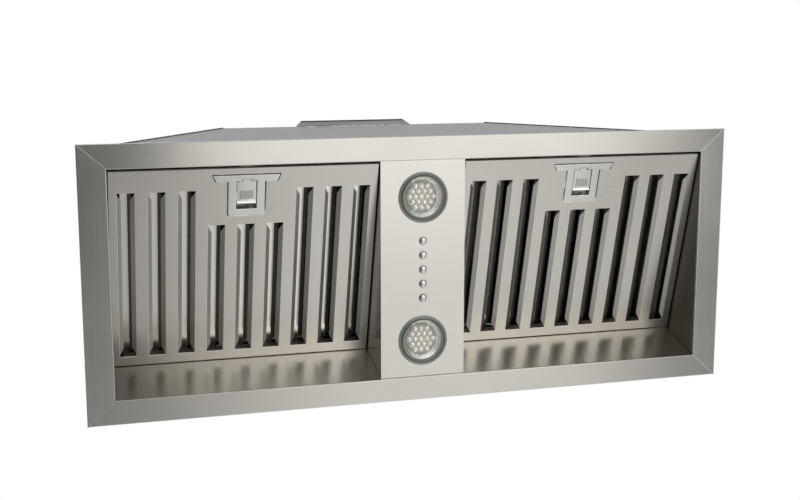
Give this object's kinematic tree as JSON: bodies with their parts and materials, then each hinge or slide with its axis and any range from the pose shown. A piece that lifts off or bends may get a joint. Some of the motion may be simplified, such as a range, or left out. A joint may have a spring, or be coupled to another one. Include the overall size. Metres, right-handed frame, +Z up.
{
  "type": "range hood insert",
  "caption": "Steel liner insert for a cooker hood with a flat trim frame, slanted baffle filters, a centre lamp and button panel, a tapered shell and a round duct collar.",
  "frame": {"origin": "middle of the trim frame's lower face, which looks down at the cooker", "axes": "+Z up as installed, -Y towards the cook, +X to the right of someone who faces the front wall"},
  "size_m": [0.864, 0.348, 0.3875],
  "materials": {
    "trim": "brushed stainless steel",
    "shell": "plain mill finish, slightly matt",
    "liner": "brushed stainless steel",
    "ledge": "bright polished steel",
    "filter": "satin stainless steel",
    "latch": "fine satin steel",
    "lamp_ring": "grey turned aluminium",
    "lamp_glass": "clear pressed glass",
    "heat_sink": "dark anodised",
    "button": "bright chrome",
    "switch": "matt moulded",
    "motor": "satin dark grey paint"
  },
  "bodies": {
    "hood": {"front_trim": "trim", "rear_trim": "trim", "left_trim": "trim", "right_trim": "trim", "shell_front": "shell", "shell_rear": "shell", "shell_left": "shell", "shell_right": "shell", "top_plate": "shell", "hanging_bracket_front": "shell", "hanging_bracket_rear": "shell", "column_cover": "shell", "blower_housing": "shell", "inlet_ring_left": "shell", "inlet_ring_right": "shell", "motor_bracket": "shell", "duct_collar": "shell", "wiring_box": "shell", "wiring_box_cover": "shell", "bay_wall_left": "liner", "bay_wall_right": "liner", "front_rail": "liner", "centre_panel": "liner", "rear_ledge_left": "ledge", "rear_ledge_right": "ledge", "damper_pin": "ledge", "latch_keeper_left": "latch", "latch_keeper_right": "latch", "lamp_ring_front": "lamp_ring", "lamp_ring_rear": "lamp_ring", "lamp_lens_front": "lamp_glass", "lamp_lens_rear": "lamp_glass", "lamp_body_front": "heat_sink", "lamp_body_rear": "heat_sink", "switch_block": "switch", "motor_body": "motor"},
    "filter_left": {"filter_front_left": "filter", "filter_rear_left": "filter", "latch_plate_left": "latch"},
    "filter_right": {"filter_front_right": "filter", "filter_rear_right": "filter", "latch_plate_right": "latch"},
    "latch_left": {"latch_pull_left": "latch"},
    "latch_right": {"latch_pull_right": "latch"},
    "button_light": {"button_light": "button"},
    "button_high": {"button_high": "button"},
    "button_medium": {"button_medium": "button"},
    "button_low": {"button_low": "button"},
    "button_power": {"button_power": "button"},
    "impeller": {"impeller": "shell", "motor_shaft": "ledge"},
    "damper_front": {"damper_flap_front": "latch"},
    "damper_rear": {"damper_flap_rear": "latch"}
  },
  "joints": [
    {"name": "filter_left_hinge", "type": "hinge", "parent": "hood", "child": "filter_left", "pos_m": [-0.227, 0.119, 0.075], "axis": [1, 0, 0], "range_deg": [0, 60]},
    {"name": "latch_left_slide", "type": "slide", "parent": "filter_left", "child": "latch_left", "axis": [0, 0.9647, 0.2634], "range_m": [0, 0.005], "stiffness_N_per_m": 400, "springref_m": -0.004},
    {"name": "filter_right_hinge", "type": "hinge", "parent": "hood", "child": "filter_right", "pos_m": [0.227, 0.119, 0.075], "axis": [1, 0, 0], "range_deg": [0, 60]},
    {"name": "latch_right_slide", "type": "slide", "parent": "filter_right", "child": "latch_right", "axis": [0, 0.9647, 0.2634], "range_m": [0, 0.005], "stiffness_N_per_m": 400, "springref_m": -0.004},
    {"name": "button_light_press", "type": "slide", "parent": "hood", "child": "button_light", "axis": [0, 0, 1], "range_m": [0, 0.0023], "stiffness_N_per_m": 500, "springref_m": -0.001},
    {"name": "button_high_press", "type": "slide", "parent": "hood", "child": "button_high", "axis": [0, 0, 1], "range_m": [0, 0.0023], "stiffness_N_per_m": 500, "springref_m": -0.001},
    {"name": "button_medium_press", "type": "slide", "parent": "hood", "child": "button_medium", "axis": [0, 0, 1], "range_m": [0, 0.0023], "stiffness_N_per_m": 500, "springref_m": -0.001},
    {"name": "button_low_press", "type": "slide", "parent": "hood", "child": "button_low", "axis": [0, 0, 1], "range_m": [0, 0.0023], "stiffness_N_per_m": 500, "springref_m": -0.001},
    {"name": "button_power_press", "type": "slide", "parent": "hood", "child": "button_power", "axis": [0, 0, 1], "range_m": [0, 0.0023], "stiffness_N_per_m": 500, "springref_m": -0.001},
    {"name": "impeller_spin", "type": "hinge", "parent": "hood", "child": "impeller", "pos_m": [0, 0.022, 0.215], "axis": [1, 0, 0], "continuous": true},
    {"name": "damper_front_hinge", "type": "hinge", "parent": "hood", "child": "damper_front", "pos_m": [0, -0.026, 0.3483], "axis": [-1, 0, 0], "range_deg": [0, 80]},
    {"name": "damper_rear_hinge", "type": "hinge", "parent": "hood", "child": "damper_rear", "pos_m": [0, -0.026, 0.3483], "axis": [1, 0, 0], "range_deg": [0, 80]}
  ]
}
